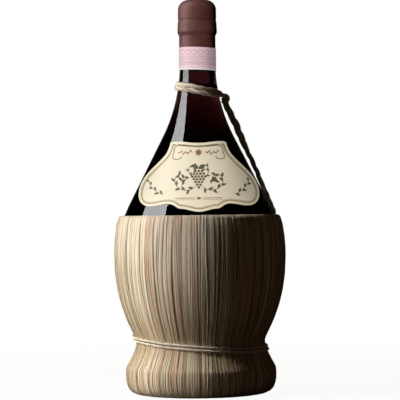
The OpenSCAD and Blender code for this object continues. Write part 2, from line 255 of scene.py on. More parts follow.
def straw(nodes):
    """Dried marsh leaves: each has its own tone, with fibres, splits and stains that run along it. The
    splits are darkened as painted shade, the top is paler as partly bleaching and partly painted light,
    the waist gets painted shade, and the edges are darker as partly browning and partly painted shade
    between the leaves.
    """
    tone, across, run, leaf = attributes(nodes, "tone", "across", "run", "leaf")
    height = nodes.parts(nodes.place())[2]
    fibre = nodes.noise((across * 2.2, run * 14.0, leaf * 3.7), 3.2, 4.0, 0.62)
    streak = nodes.noise((across * 1.1, run * 5.0, leaf * 5.1), 1.9, 3.0, 0.6)
    split = nodes.noise((across * 1.9, run * 3.0, leaf * 8.3), 2.1, 2.0)
    stain = nodes.noise((across * 0.3, run * 26.0, leaf * 1.9), 1.1, 3.0)
    ripe, pale = nodes.step(streak, 0.48, 0.66), nodes.step(streak, 0.5, 0.36)
    # Paler towards the top: partly bleaching, partly painted light that the top would get from above
    bleach_and_painted_light = nodes.step(height, *BLEACH_AND_LIGHT_Z) * nodes.step(stain, 0.68, 0.4)
    # Painted shade: the straw is darker in the waist's hollow under the belly
    shaded = nodes.step(height, *WAIST_TOP_Z) * nodes.step(height, *WAIST_LOW_Z)
    # Leaf edges darker: partly browning of dried leaves, partly painted shade in the gaps between leaves
    edge = nodes.step(nodes.math("ABSOLUTE", across), 0.8, 0.96)
    body = nodes.layers(
        nodes.ramp(tone, STRAW_TONES),
        (ripe, 0.5, rgb(160, 138, 100)),
        (pale, 0.5, rgb(240, 226, 198)),
        # splits darkened as painted shade in their grooves
        (nodes.step(split, 0.55, 0.61), 0.88, rgb(88, 64, 38)),
        (nodes.step(fibre, 0.55, 0.8), 0.4, rgb(124, 104, 72)),
        (nodes.step(stain, 0.62, 0.8), 0.4, rgb(118, 92, 66)),
        (bleach_and_painted_light, 0.36, rgb(246, 232, 216)),
        (shaded, 0.3, rgb(150, 124, 84)),
        (edge, 0.9, rgb(54, 38, 22)))
    return {"Base Color": body, "Roughness": 0.55 + fibre * 0.2, "Specular IOR Level": 0.35,
            "Normal": nodes.bump(fibre + streak - split * 0.8, 0.00014)}


def straw_lining_painted_shade(nodes):
    """The lining's leaves, coloured dark as painted shade in the gaps between the leaves over them."""
    tone, across, run = attributes(nodes, "tone", "across", "run")
    fibre = nodes.noise((across * 2.0, run * 14.0, tone * 40.0), 3.0, 3.0)
    # Painted shade: the lining's tones are kept dark
    dark = nodes.blend(fibre, rgb(92, 74, 48), rgb(142, 120, 84))
    return {"Base Color": dark, "Roughness": 0.8, "Normal": nodes.bump(fibre, 0.0002)}


def rope_straw(nodes):
    """Coarse straw of the rope in the foot and the rim."""
    around, run, strand = attributes(nodes, "around", "run", "strand")
    fibre = nodes.noise((around * 7.0, run * 30.0, strand * 4.1), 2.0, 3.0)
    body = nodes.blend(nodes.step(fibre, 0.35, 0.7), rgb(188, 164, 118), rgb(126, 102, 64))
    return {"Base Color": body, "Roughness": 0.75, "Normal": nodes.bump(fibre, 0.0004)}


def raffia(nodes):
    """Pale raffia: fine fibres that run along the strand, with painted shade in its folds."""
    around, run, strand = attributes(nodes, "around", "run", "strand")
    fibre = nodes.noise((around * 5.0, run * 60.0, strand * 3.1), 2.0, 4.0, 0.6)
    fold = nodes.noise((around * 1.2, run * 40.0, strand * 7.7), 1.3, 2.0)
    body = nodes.blend(nodes.step(fibre, 0.35, 0.7), rgb(232, 221, 203), rgb(200, 182, 152))
    # Painted shade in the folds
    body = nodes.layers(body, (nodes.step(fold, 0.52, 0.7), 0.75, rgb(146, 124, 88)))
    return {"Base Color": body, "Roughness": 0.6, "Specular IOR Level": 0.4,
            "Normal": nodes.bump(fibre + fold, 0.00025)}


def stopper_wood(nodes):
    """Turned wood with growth rings about the axis."""
    x, y, z = nodes.parts(nodes.place())
    rings = nodes.noise((x, y * 2.6, z * 0.12), 260.0, 4.0, 0.6)
    pores = nodes.noise((x, y, z * 0.06), 1500.0, 2.0)
    wood = nodes.blend(nodes.step(rings, 0.35, 0.65), rgb(176, 132, 88), rgb(134, 92, 56))
    wood = nodes.layers(wood, (nodes.step(pores, 0.6, 0.8), 0.6, rgb(86, 56, 34)))
    return {"Base Color": wood, "Roughness": 0.5, "Normal": nodes.bump(rings + pores, 0.00006)}


def cork(nodes):
    """Pressed cork with dark pits and pale grains, stained by the wine at its foot."""
    place = nodes.place()
    height = nodes.parts(place)[2]
    grain = nodes.add("ShaderNodeTexVoronoi", {"Vector": place, "Scale": 700.0}, feature="F1")
    pits = nodes.noise(place, 520.0, 3.0)
    soaked = nodes.step(height + pits * 0.002, CORK_Z + 6.0 * MM, CORK_Z + 3.0 * MM)
    body = nodes.layers(
        nodes.blend(nodes.step(grain, 0.2, 0.7), rgb(214, 176, 128), rgb(176, 132, 88)),
        (nodes.step(pits, 0.6, 0.68), 1.0, rgb(96, 62, 38)),
        (soaked, 0.8, rgb(92, 26, 38)))
    return {"Base Color": body, "Roughness": 0.85, "Normal": nodes.bump(pits, 0.0003, 0.7)}


# Shapes from the frame

def at(radius, angle, z):
    """A point at a radius, an angle in degrees from +X and a height."""
    turn = radians(angle)
    return Vector((radius * cos(turn), radius * sin(turn), z))


def new_object(name, data):
    made = bpy.data.objects.new(name, data)
    bpy.context.scene.collection.objects.link(made)
    return made


class Skin:
    """The surface of a CAD node, measured with rays."""

    def __init__(self, node):
        mesh = frame["nodes"][node].data
        self.tree = BVHTree.FromPolygons(
            [v.co for v in mesh.vertices], [tuple(p.vertices) for p in mesh.polygons])

    def outer(self, z, angle=0.0):
        """Radius of the outermost surface at a height and an angle."""
        way = at(1.0, angle, 0.0)
        hit = self.tree.ray_cast(way + Vector((0.0, 0.0, z)), -way)[0]
        return hit.xy.length

    def inner(self, z):
        """Radius of the first surface that a level ray from the axis meets."""
        return self.inner_along(Vector((0.0, 0.0, z)), 0.0).xy.length

    def inner_along(self, centre, drop):
        """The inner surface seen from a point on the axis, drop degrees below the horizontal."""
        x, z, _ = at(1.0, -drop, 0.0)
        return self.tree.ray_cast(centre, Vector((x, 0.0, z)))[0]


def mesh_piece(name, vertices, faces, finish, smooth=True):
    mesh = bpy.data.meshes.new(name)
    mesh.from_pydata([tuple(v) for v in vertices], [], faces)
    mesh.validate()
    for polygon in mesh.polygons:
        polygon.use_smooth = smooth
    mesh.materials.append(finish)
    return new_object(name, mesh)


def lathe(name, outline, segments, finish):
    """A closed turned piece. outline runs from the lower pole to the upper pole, as (radius, height)."""
    body = outline[1:-1]
    vertices = [(0.0, 0.0, outline[0][1]), (0.0, 0.0, outline[-1][1])]
    for radius, height in body:
        vertices += [at(radius, 360.0 * i / segments, height) for i in range(segments)]
    faces = []
    for i in range(segments):
        j = (i + 1) % segments
        faces.append((0, 2 + j, 2 + i))
        top = 2 + (len(body) - 1) * segments
        faces.append((1, top + i, top + j))
        for k in range(len(body) - 1):
            low = 2 + k * segments
            faces.append((low + i, low + j, low + segments + j, low + segments + i))
    return mesh_piece(name, vertices, faces, finish)


def finish_piece(piece, slot, *nodes):
    """A new piece rides on the flask, and the CAD nodes it stands for are hidden. The slot is not used.
    """
    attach(piece, "flask")
    if nodes:
        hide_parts(*nodes)
    return piece


def dress(node, finish):
    """Gives a CAD node its material."""
    slots = frame["nodes"][node].data.materials
    slots.clear()
    slots.append(finish)


# Geometry Nodes

def geometry_tree(name, inputs):
    """A new tree, the function that gives its inputs by their names, and its line as a curve."""
    tree = bpy.data.node_groups.new(name, "GeometryNodeTree")
    tree.interface.new_socket("Geometry", in_out="INPUT", socket_type="NodeSocketGeometry")
    tree.interface.new_socket("Geometry", in_out="OUTPUT", socket_type="NodeSocketGeometry")
    for label in inputs:
        kind = "NodeSocketInt" if label in WHOLE_INPUTS else "NodeSocketFloat"
        tree.interface.new_socket(label, in_out="INPUT", socket_type=kind)
    nodes = Nodes(tree)
    given = nodes.add("NodeGroupInput").out
    return nodes, given, nodes.add("GeometryNodeMeshToCurve", {"Mesh": given("Geometry")})


def close_tree(nodes, geometry, finish):
    """Ends a tree with real geometry, smooth faces and a material, and gives its nodes."""
    real = nodes.add("GeometryNodeRealizeInstances", {"Geometry": geometry})
    smooth = nodes.add("GeometryNodeSetShadeSmooth", {"Geometry": real})
    painted = nodes.add("GeometryNodeSetMaterial", {"Geometry": smooth, "Material": finish})
    nodes.add("NodeGroupOutput", {"Geometry": painted})
    return nodes


def store(nodes, geometry, name, value, kind="FLOAT", domain="POINT"):
    return nodes.add("GeometryNodeStoreNamedAttribute", {
        "Geometry": geometry, "Name": name, "Value": value}, data_type=kind, domain=domain)


def stored(nodes, name, kind="FLOAT"):
    return nodes.add("GeometryNodeInputNamedAttribute", {"Name": name}, data_type=kind)


def grow(name, nodes, points, label, numbers):
    """Runs a tree on a line of points that carry numbers under a label, with the inputs in GROWN.
    The result is a plain mesh piece."""
    slot, node, *values = GROWN[name]
    line = bpy.data.meshes.new(name + "_line")
    line.from_pydata([tuple(p) for p in points], [(i, i + 1) for i in range(len(points) - 1)], [])
    line.attributes.new(label, "FLOAT", "POINT").data.foreach_set("value", numbers)
    source = new_object(name + "_source", line)
    modifier = source.modifiers.new("grow", "NODES")
    modifier.node_group = nodes.tree
    inputs = [item for item in nodes.tree.interface.items_tree if item.in_out == "INPUT"]
    for item, value in zip(inputs[1:], values):
        modifier[item.identifier] = value
    depsgraph = bpy.context.evaluated_depsgraph_get()
    mesh = bpy.data.meshes.new_from_object(source.evaluated_get(depsgraph))
    mesh.name = name
    bpy.data.objects.remove(source)
    return finish_piece(new_object(name, mesh), slot, node)


# Inputs of the two trees. Width and its spread are shares of the pitch
LEAF_INPUTS = ("Leaves", "Sides", "Width", "Width spread", "Thickness", "Lift", "Tilt", "Crown",
               "Sway", "Seed")
CORD_INPUTS = ("Strands", "Sides", "Step", "Strand radius", "Lay radius", "Pitch", "Uneven", "Seed")
WHOLE_INPUTS = ("Leaves", "Strands", "Sides", "Seed")
# Each grown piece's record slot, the CAD node it stands for, and its tree's inputs, in metres
GROWN = {
    "straw_leaves": (
        "straw", "straw_outer", 104, 12, 1.45, 0.9, 0.0003, 0.00036, 0.0002, 0.0, 0.7, 3),
    "straw_slivers": (
        "straw", "straw_outer", 140, 8, 0.55, 1.0, 0.00016, 0.00024, 0.0001, 0.00002, 1.8, 17),
    "straw_lining": (
        "straw_lining", "straw_inner", 48, 10, 1.4, 0.2, 0.0004, 0.0002, 0.0005, 0.0002, 0.4, 21),
    "rim_rope": ("straw_lining", "rim_hoop", 3, 8, 0.0012, 0.00042, 0.0004, 0.009, 0.3, 8),
    "foot_coil": ("straw_lining", "foot_ring", 3, 8, 0.0024, 0.00145, 0.00125, 0.026, 0.35, 12),
    "sling": ("raffia", "sling_cord", 3, 10, 0.0009, 0.00128, 0.00118, 0.031, 0.45, 4),
    "neck_raffia": ("raffia", "neck_cord", 3, 10, 0.0008, 0.001, 0.0008, 0.026, 0.4, 4),
    "waist_raffia": ("raffia", "waist_tie", 2, 10, 0.001, 0.00062, 0.0004, 0.015, 0.5, 4)}


def leaf_layer(finish):
    """Leaves side by side round the axis, all on one route that runs in the plane of X and Z.
    Each is a thin closed strip with its own width, lift, tilt, crown, sway and tone."""
    nodes, given, route = geometry_tree("leaf layer", LEAF_INPUTS)
    tx, _, tz = nodes.parts(nodes.add("GeometryNodeInputTangent"))
    route = store(nodes, route, "spine", nodes.add("GeometryNodeInputPosition"), "FLOAT_VECTOR")
    route = store(nodes, route, "away", nodes.vector(tz * -1.0, 0.0, tx), "FLOAT_VECTOR")
    route = store(nodes, route, "run", nodes.add("GeometryNodeSplineParameter").out("Length"))
    section = nodes.add("GeometryNodeCurvePrimitiveCircle", {
        "Resolution": given("Sides"), "Radius": 1.0})
    sx, sy, _ = nodes.parts(nodes.add("GeometryNodeInputPosition"))
    section = store(nodes, section, "across", sx)
    section = store(nodes, section, "up", sy)
    strip = nodes.add("GeometryNodeCurveToMesh", {
        "Curve": route, "Profile Curve": section, "Fill Caps": True})
    spots = nodes.add("GeometryNodeMeshLine", {"Count": given("Leaves")})
    copies = nodes.add("GeometryNodeInstanceOnPoints", {"Points": spots, "Instance": strip})
    copies = store(nodes, copies, "leaf", nodes.add("GeometryNodeInputIndex"), "FLOAT", "INSTANCE")
    leaves = nodes.add("GeometryNodeRealizeInstances", {"Geometry": copies})

    leaf, across, up, run, loose = (
        stored(nodes, name) for name in ("leaf", "across", "up", "run", "loose"))
    seed = given("Seed")
    pick = [nodes.add("FunctionNodeRandomValue", {"ID": leaf, "Seed": seed + k * 11.0}, output=1)
            for k in range(6)]
    pitch = nodes.math("DIVIDE", tau, given("Leaves"))
    wander = nodes.waver(run * 8.0, leaf * 1.37, seed)
    breathe = nodes.waver(run * 22.0, leaf * 2.11, seed + 5.0)
    ripple = nodes.waver(run * 24.0, leaf * 0.83 + across * 0.6, seed + 9.0)
    share = given("Width") + (pick[0] - 0.5) * given("Width spread") + breathe * 0.35
    angle = pitch * (leaf + (pick[1] - 0.5) * 0.5 + wander * given("Sway") + share * across * 0.5)
    bow = 1.0 - across * across
    height = (nodes.math("POWER", pick[2], 3.0) * 2.0 + ripple * 0.8) * given("Lift")
    height = height + (pick[3] - 0.5) * across * given("Tilt")
    height = height + (pick[4] * 1.3 - 0.3) * bow * given("Crown")
    height = height * loose + up * given("Thickness") * 0.5
    px, _, pz = nodes.parts(stored(nodes, "spine", "FLOAT_VECTOR"))
    ax, _, az = nodes.parts(stored(nodes, "away", "FLOAT_VECTOR"))
    radius = px + ax * height
    place = nodes.vector(
        radius * nodes.math("COSINE", angle), radius * nodes.math("SINE", angle), pz + az * height)
    leaves = nodes.add("GeometryNodeSetPosition", {"Geometry": leaves, "Position": place})
    return close_tree(nodes, store(nodes, leaves, "tone", pick[5]), finish)


def twisted_cord(finish):
    """Strands laid round each other along a route, each thick and thin by turns."""
    nodes, given, route = geometry_tree("twisted cord", CORD_INPUTS)
    route = nodes.add("GeometryNodeResampleCurve", {
        "Curve": route, "Length": given("Step")}, mode="LENGTH")
    strands = nodes.add("GeometryNodeDuplicateElements", {
        "Geometry": route, "Amount": given("Strands")}, domain="SPLINE")
    strands = store(nodes, strands, "strand", strands.out("Duplicate Index"))
    strands = store(nodes, strands, "run", nodes.add("GeometryNodeSplineParameter").out("Length"))
    strand, run, thick = (stored(nodes, name) for name in ("strand", "run", "thick"))
    seed = given("Seed")
    stray = nodes.waver(run * 90.0, strand * 4.3, seed)
    swell = nodes.waver(run * 130.0, strand * 2.9, seed + 3.0)
    angle = tau * (strand / given("Strands") + run / given("Pitch") + stray * 0.35)
    tangent = nodes.add("GeometryNodeInputTangent")
    normal = nodes.add("GeometryNodeInputNormal")
    side = nodes.add("ShaderNodeVectorMath", {0: tangent, 1: normal}, operation="CROSS_PRODUCT")
    out = given("Lay radius") * thick * (1.0 + stray * given("Uneven"))
    first, second = (
        nodes.add("ShaderNodeVectorMath", {
            0: way, "Scale": out * nodes.math(wave, angle)}, operation="SCALE")
        for way, wave in ((normal, "COSINE"), (side, "SINE")))
    offset = nodes.add("ShaderNodeVectorMath", {0: first, 1: second}, operation="ADD")
    strands = nodes.add("GeometryNodeSetPosition", {"Geometry": strands, "Offset": offset})
    section = nodes.add("GeometryNodeCurvePrimitiveCircle", {
        "Resolution": given("Sides"), "Radius": given("Strand radius")})
    section = store(nodes, section, "around", nodes.add("GeometryNodeInputIndex") / given("Sides"))
    tubes = nodes.add("GeometryNodeCurveToMesh", {
        "Curve": strands, "Profile Curve": section, "Scale": thick * (1.0 + swell * given("Uneven")),
        "Fill Caps": True})
    return close_tree(nodes, tubes, finish)


# Sizes and tones

# The neck strip's middle, height and slant in degrees
STRIP_Z, STRIP_H, STRIP_SLANT = 263.9 * MM, 17.8 * MM, 2.0
# Middle and reach of each pair of crossing waves in half heights of the strip, waves a radian, shift
STRIP_WAVES = [(0.55, 0.20, 9.0, 0.0), (0.05, 0.16, 13.0, 0.6), (-0.40, 0.13, 17.0, 0.2)]
CORK_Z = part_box("stopper_cork")[0].z
# A leaf's colour for its random tone
STRAW_TONES = [(0.0, rgb(222, 200, 162)), (0.12, rgb(238, 222, 194)), (0.3, rgb(226, 204, 166)),
               (0.42, rgb(206, 162, 132)), (0.52, rgb(230, 210, 176)), (0.64, rgb(194, 178, 132)),
               (0.76, rgb(216, 194, 156)), (0.88, rgb(188, 170, 148)), (1.0, rgb(146, 116, 80))]
# Heights in metres between which the straw gets paler, partly bleaching and partly painted light, and
# darker above and below the waist as painted shade
BLEACH_AND_LIGHT_Z, WAIST_TOP_Z, WAIST_LOW_Z = (0.05, 0.13), (0.075, 0.04), (0.028, 0.036)
CAPSULE_NODES = ("capsule_head", "capsule_disc", "capsule_skirt")

glass = Skin("glass_flask")
straw_cad = Skin("straw_outer")
lining_cad = Skin("straw_inner")


# Camera, floor and lights

# The camera looks level along +Y, with a roll in degrees, and its shift frames the bottle
CAMERA_PLACE, CAMERA_ROLL = (0.0006, -1.586, 0.1409), 0.65
CAMERA_LENS, CAMERA_SENSOR, CAMERA_SHIFT = 180.8, 36.0, 0.0385
# The floor's half width and tones, and its glow, which is FLOOR_GLOW near the bottle and full far off
FLOOR_HALF, FLOOR_TONES = 4.0, ((0.055, 0.042, 0.030), (0.065, 0.05, 0.036))
FLOOR_GLOW, FLOOR_FADE = 0.95, (0.2, 0.9)
# Each lamp: azimuth to the left of the camera, distance from the axis, height, drop of its aim at
# the axis, its box's width and height, and watts
LAMPS = {
    "key": (75.5, 1.0, 0.80, 0.66, 0.28, 0.36, 13.4),
    "side": (76.0, 0.6, 0.055, -0.05, 0.4, 0.09, 2.1),
    "rim": (-84.0, 1.0, 0.30, 0.14, 0.16, 0.3, 0.15),
    "paper key": (46.0, 1.4, 0.6, 0.4, 0.5, 0.5, 17.6),
    "paper fill": (-48.0, 1.4, 0.6, 0.4, 0.5, 0.5, 7.8),
    "capsule key": (27.0, 1.4, 0.6, 0.4, 0.3, 0.5, 17.0)}
WARM, WHITE = (1.0, 0.68, 0.46), (1.0, 1.0, 1.0)
AMBIENT = 0.0055
# The tall soft box's width, foot and top, azimuth and strength, how dim its rear edge and its foot
# are, and the heights between which it gets its full strength
PANEL_W, PANEL_Z, PANEL_AZIMUTH, PANEL_POWER = 0.80, (0.10, 2.2), 83.3, 9.8
PANEL_REAR, PANEL_FOOT, PANEL_RISE = 0.66, 0.72, (0.3, 0.75)
PANEL_COLOUR = (1.0, 1.0, 1.03)


def add_camera():
    data = bpy.data.cameras.new("camera")
    data.lens, data.sensor_width, data.shift_y = CAMERA_LENS, CAMERA_SENSOR, CAMERA_SHIFT
    camera = new_object("camera", data)
    camera.location = CAMERA_PLACE
    camera.rotation_euler = (radians(90.0), radians(CAMERA_ROLL), 0.0)
    bpy.context.scene.camera = camera


def bare_material(name):
    """A material without a shader, and its nodes."""
    made = bpy.data.materials.new(name)
    made.use_nodes = True
    made.node_tree.nodes.clear()
    return made, Nodes(made.node_tree)


def add_floor():
    """A pale floor that shows white, also through glass, and keeps a faint shadow."""
    made, nodes = bare_material("floor_white")
    place = nodes.place()
    x, y, _ = nodes.parts(place)
    matt = nodes.add("ShaderNodeBsdfDiffuse", {
        "Color": nodes.blend(nodes.noise(place, 40.0), *FLOOR_TONES)})
    path = nodes.add("ShaderNodeLightPath")
    seen = nodes.math("MAXIMUM", path.out("Is Camera Ray"), path.out("Is Transmission Ray"))
    away = nodes.math("SQRT", x * x + y * y)
    white = FLOOR_GLOW + nodes.step(away, *FLOOR_FADE) * (1.0 - FLOOR_GLOW)
    glow = nodes.add("ShaderNodeEmission", {"Color": WHITE, "Strength": seen * white})
    both = nodes.add("ShaderNodeAddShader", {0: matt, 1: glow})
    nodes.add("ShaderNodeOutputMaterial", {"Surface": both})
    half = FLOOR_HALF
    corners = [(-half, -half, 0.0), (half, -half, 0.0), (half, half, 0.0), (-half, half, 0.0)]
    mesh_piece("floor", corners, [(0, 1, 2, 3)], made)


def add_lamp(name):
    """A soft box that is aimed at the axis."""
    azimuth, distance, centre_z, drop, width, height, power = LAMPS[name]
    data = bpy.data.lights.new(name, "AREA")
    data.shape = "RECTANGLE"
    data.size, data.size_y, data.energy = width, height, power
    lamp = new_object(name, data)
    angle = radians(azimuth)
    lamp.location = (-distance * sin(angle), -distance * cos(angle), centre_z)
    aim = Vector((0.0, 0.0, centre_z - drop)) - lamp.location
    lamp.rotation_euler = aim.to_track_quat("-Z", "Y").to_euler()
    lamp.visible_glossy = False
    lamp.visible_transmission = False
    return lamp


def add_strip():
    """The tall soft box that the glass mirrors. It dims towards its rear edge and its foot."""
    half, (foot, top) = PANEL_W / 2, PANEL_Z
    made, nodes = bare_material("strip_light")
    across, _, height = nodes.parts(nodes.place())
    forward, upward = (
        nodes.add("ShaderNodeMapRange", {
            "Value": value, "From Min": low, "From Max": high, "To Min": dim, "To Max": 1.0})
        for value, low, high, dim in (
            (across, -half, half, PANEL_REAR), (height, *PANEL_RISE, PANEL_FOOT)))
    glow = nodes.add("ShaderNodeEmission", {
        "Color": PANEL_COLOUR, "Strength": forward * upward * PANEL_POWER})
    nodes.add("ShaderNodeOutputMaterial", {"Surface": glow})
    corners = [(-half, 0.0, foot), (half, 0.0, foot), (half, 0.0, top), (-half, 0.0, top)]
    panel = mesh_piece("strip_light", corners, [(0, 1, 2, 3)], made)
    angle = radians(PANEL_AZIMUTH)
    panel.location = (-sin(angle), -cos(angle), 0.0)
    panel.rotation_euler = (0.0, 0.0, -angle)
    for kind in ("camera", "diffuse", "transmission", "shadow"):
        setattr(panel, "visible_" + kind, False)


def light_only(lamp, objects, state="INCLUDE"):
    """A lamp that lights only some objects, or all others."""
    linked = bpy.data.collections.new(lamp.name + " group")
    for item in objects:
        linked.objects.link(item)
    lamp.light_linking.receiver_collection = linked
    for entry in linked.collection_objects:
        entry.light_linking.link_state = state


def add_world():
    """White for the camera, also through glass from the front, and a dim warm room for the rest."""
    world = bpy.data.worlds.new("studio")
    bpy.context.scene.world = world
    world.use_nodes = True
    nodes = Nodes(world.node_tree)
    world.node_tree.nodes.clear()
    path = nodes.add("ShaderNodeLightPath")
    _, depth, _ = nodes.parts(nodes.add("ShaderNodeTexCoord").out("Generated"))
    behind = nodes.step(depth, 0.93, 0.97)
    white = nodes.math("MAXIMUM", path.out("Is Camera Ray"), path.out("Is Transmission Ray") * behind)
    dull = 1.0 - path.out("Is Glossy Ray") * 0.7
    dim = nodes.add("ShaderNodeBackground", {"Color": WARM, "Strength": dull * AMBIENT})
    bright = nodes.add("ShaderNodeBackground", {"Color": WHITE, "Strength": 1.0})
    mixed = nodes.add("ShaderNodeMixShader", {0: white, 1: dim, 2: bright})
    nodes.add("ShaderNodeOutputWorld", {"Surface": mixed})


def add_lights():
    """Three lamps light the straw and the cords, two the papers and one the capsule."""
    papers = [frame["nodes"][node] for node in ("front_label", "neck_strip")]
    papers += [item for item in bpy.data.objects if item.name.startswith("label_")]
    capsule = [frame["nodes"][node] for node in CAPSULE_NODES]
    for name in LAMPS:
        lamp = add_lamp(name)
        if name == "rim":
            lamp.data.color = WARM
        if name == "capsule key":
            light_only(lamp, capsule)
        elif name.startswith("paper"):
            light_only(lamp, papers)
        else:
            light_only(lamp, papers + capsule, "EXCLUDE")
    add_strip()
    add_world()


# Cords

# The sling's route in millimetres from the neck to the rim, with its thickness as a share
SLING_ROUTE = [
    (19.8, 0, 233.6, 0.78), (20.7, 0, 231.4, 0.95), (22.1, 0, 228.6, 1.15), (23.5, 0, 225.4, 1.2),
    (24.9, 0, 222.6, 1.15), (26.6, 0, 218.6, 1.1), (28.9, 0, 214, 1.2), (31.1, 0, 209, 1.28),
    (33.1, 0, 204.2, 1.22), (36.4, 0, 195.6, 1), (39, 0, 190, 0.88), (41.5, 0, 185, 0.84),
    (43.8, -0.6, 180, 0.84), (45.9, -2, 175, 0.84), (47.7, -4.4, 170, 0.84), (49.6, -7.4, 165, 0.84),
    (51.7, -10.4, 160, 0.84), (53.6, -13.4, 155, 0.84), (55, -16.6, 151, 0.84),
    (56.4, -19.4, 147.6, 0.8), (57.9, -21.8, 144.9, 0.76), (57.9, -21.8, 141.3, 0.73)]
# The neck cord's end, which leaves the turns and loops round the sling's top
HITCH_ROUTE = [
    (14.9, -12.3, 234.6), (17.8, -9.4, 234.9), (20.2, -6.6, 235.0), (22.2, -3.4, 234.6),
    (23.3, 0.2, 233.8), (23.5, 3, 232.9), (23.2, 5.4, 232.2), (22.5, 7.0, 231.7),
    (21.5, 7.9, 231.4), (20.3, 8.2, 231.2), (19.0, 8.0, 231.2)]
HITCH_THICK = 1.1
# The neck cord: turns, where the first starts and how far before a whole turn the last stops, in
# degrees, then height, rise to the left, drop of each turn and radius
CORD_TURNS, CORD_START, CORD_OFF = 2, 70.0, 40.0
CORD_Z, CORD_RISE, CORD_STEP, CORD_R = 240.4 * MM, 6.5 * MM, 3.5 * MM, 1.5 * MM
# The waist tie: turns and start, then height, rise to the left and to the back, drop of each turn,
# radius, and how far its ends dip into the straw
TIE_TURNS, TIE_START = 2, 70.0
TIE_Z, TIE_LEFT, TIE_BACK, TIE_STEP, TIE_R = 43.6 * MM, 3.6 * MM, 1.9 * MM, 2.6 * MM, 1.0 * MM
TIE_DIP = 3.5 * MM
# Points in each turn of a cord
LOOP_STEPS = 48


def curve_points(points, steps):
    """A smooth line through points, in so many steps from each to the next."""
    points = [Vector(p) for p in points]
    ends = [points[0], *points, points[-1]]
    line = []
    for a, b, c, d in zip(ends, ends[1:], ends[2:], ends[3:]):
        for i in range(steps):
            t = i / steps
            line.append(0.5 * (2 * b + (c - a) * t + (2 * a - 5 * b + 4 * c - d) * t * t
                               + (3 * b - a - 3 * c + d) * t ** 3))
    return line + [points[-1]]


def neck_cord_line():
    """The turns round the neck and the hitch, with the thickness at each point."""
    wound = []
    for i in range(CORD_TURNS * LOOP_STEPS):
        angle = CORD_START + 360.0 * i / LOOP_STEPS
        if angle < 360.0 * CORD_TURNS - CORD_OFF:
            z = CORD_Z - CORD_STEP * angle / 360.0 + CORD_RISE * (1 - cos(radians(angle))) / 2
            wound.append(at(glass.outer(z - 0.4 * CORD_R) + CORD_R, angle, z))
    hitch = curve_points([Vector(p) * MM for p in HITCH_ROUTE], 3)
    return wound + hitch, [1.0] * len(wound) + [HITCH_THICK] * len(hitch)


def waist_tie_line():
    """The turns round the waist. Each keeps clear of the leaves beside it, and both ends dip under."""
    points = []
    for i in range(TIE_TURNS * LOOP_STEPS + 1):
        angle = TIE_START + 360.0 * i / LOOP_STEPS
        turn = radians(angle)
        z = (TIE_Z - TIE_LEFT * cos(turn) + TIE_BACK * sin(turn)
             - TIE_STEP * (angle - TIE_START) / 360.0)
        reach = max(straw_cad.outer(z, angle + side) for side in range(-2, 3))
        points.append(at(reach + TIE_R, angle, z))
    first, last = (p + (p.xy.normalized() * -TIE_DIP).to_3d() for p in (points[0], points[-1]))
    return [first, *points, last]


def add_cords():
    """The sling, the neck cord and the waist tie, all of raffia."""
    tree = twisted_cord(material("raffia", raffia))
    swept = curve_points([(x * MM, y * MM, z * MM, share) for x, y, z, share in SLING_ROUTE], 4)
    sling_line = [p.to_3d() for p in swept]
    sling = grow("sling", tree, sling_line, "thick", [p.w for p in swept])
    wound, thick = neck_cord_line()
    grow("neck_raffia", tree, wound, "thick", thick)
    tied = waist_tie_line()
    grow("waist_raffia", tree, tied, "thick", [1.0] * len(tied))


# Straw basket

# The rim's height, the fold's radius, and how far the leaves run down inside the rim from a height
RIM_Z, FOLD_R, TUCK, TUCK_TOP = 141.0 * MM, 1.9 * MM, 7.0 * MM, 139.3 * MM
# The leaves' middle outside the source's inner layer, and how far the slivers lie outside that
# middle and the lining inside it
LEAF_MIDDLE, SLIVER_OUT, LINING_IN = 0.75 * MM, 0.22 * MM, 0.75 * MM
# The part of the route over the belly, from its top to its lowest point
BELLY_TOP, BELLY_LOW, BELLY_STEPS = 133.0 * MM, 26.5 * MM, 34
# The tie presses the leaves flat at the waist, and they get looser down from the fold
WAIST_Z, WAIST_REACH, WAIST_PRESS = 42.0 * MM, 7.0 * MM, 0.7
FOLD_LOOSE, RIM_LOOSE, RIM_EASE = 0.15, 0.4, 18.0 * MM
# The fold over the rim, as millimetres outside the crest and height
FOLD_ROUTE = [(-0.6, 139.6), (-0.55, 140.3), (-0.35, 140.8), (0, 141), (0.6, 140.85), (1.2, 140.4),
              (1.75, 139.8), (2.25, 139), (2.65, 137.9), (2.9, 136.6)]
# The foot, as radius and height in millimetres and looseness
FOOT_ROUTE = [(57.0, 24.6, 0.4), (58.0, 22.7, 0.3), (58.65, 21.4, 0.25), (58.8, 20.8, 0.25),
              (58.95, 19.6, 0.3), (59.0, 16.5, 0.7), (58.8, 12.5, 0.9), (58.1, 8.8, 0.8),
              (56.8, 5.6, 0.7), (54.5, 3.1, 0.5), (51.2, 1.4, 0.3), (47.5, 0.75, 0.1), (43, 0.5, 0),
              (36, 0.5, 0)]
# The rope in the fold: steps, the angle where it ends, and its middle outside the glass
HOOP_STEPS, HOOP_END, HOOP_OUT = 120, 359.9, 3.2 * MM
# Rows of the rope in the foot, height of the lowest and their step in millimetres, rope's radius
ROWS, ROW_LOW, ROW_STEP, ROPE_R = 6, 4.4, 5.0, 2.6 * MM


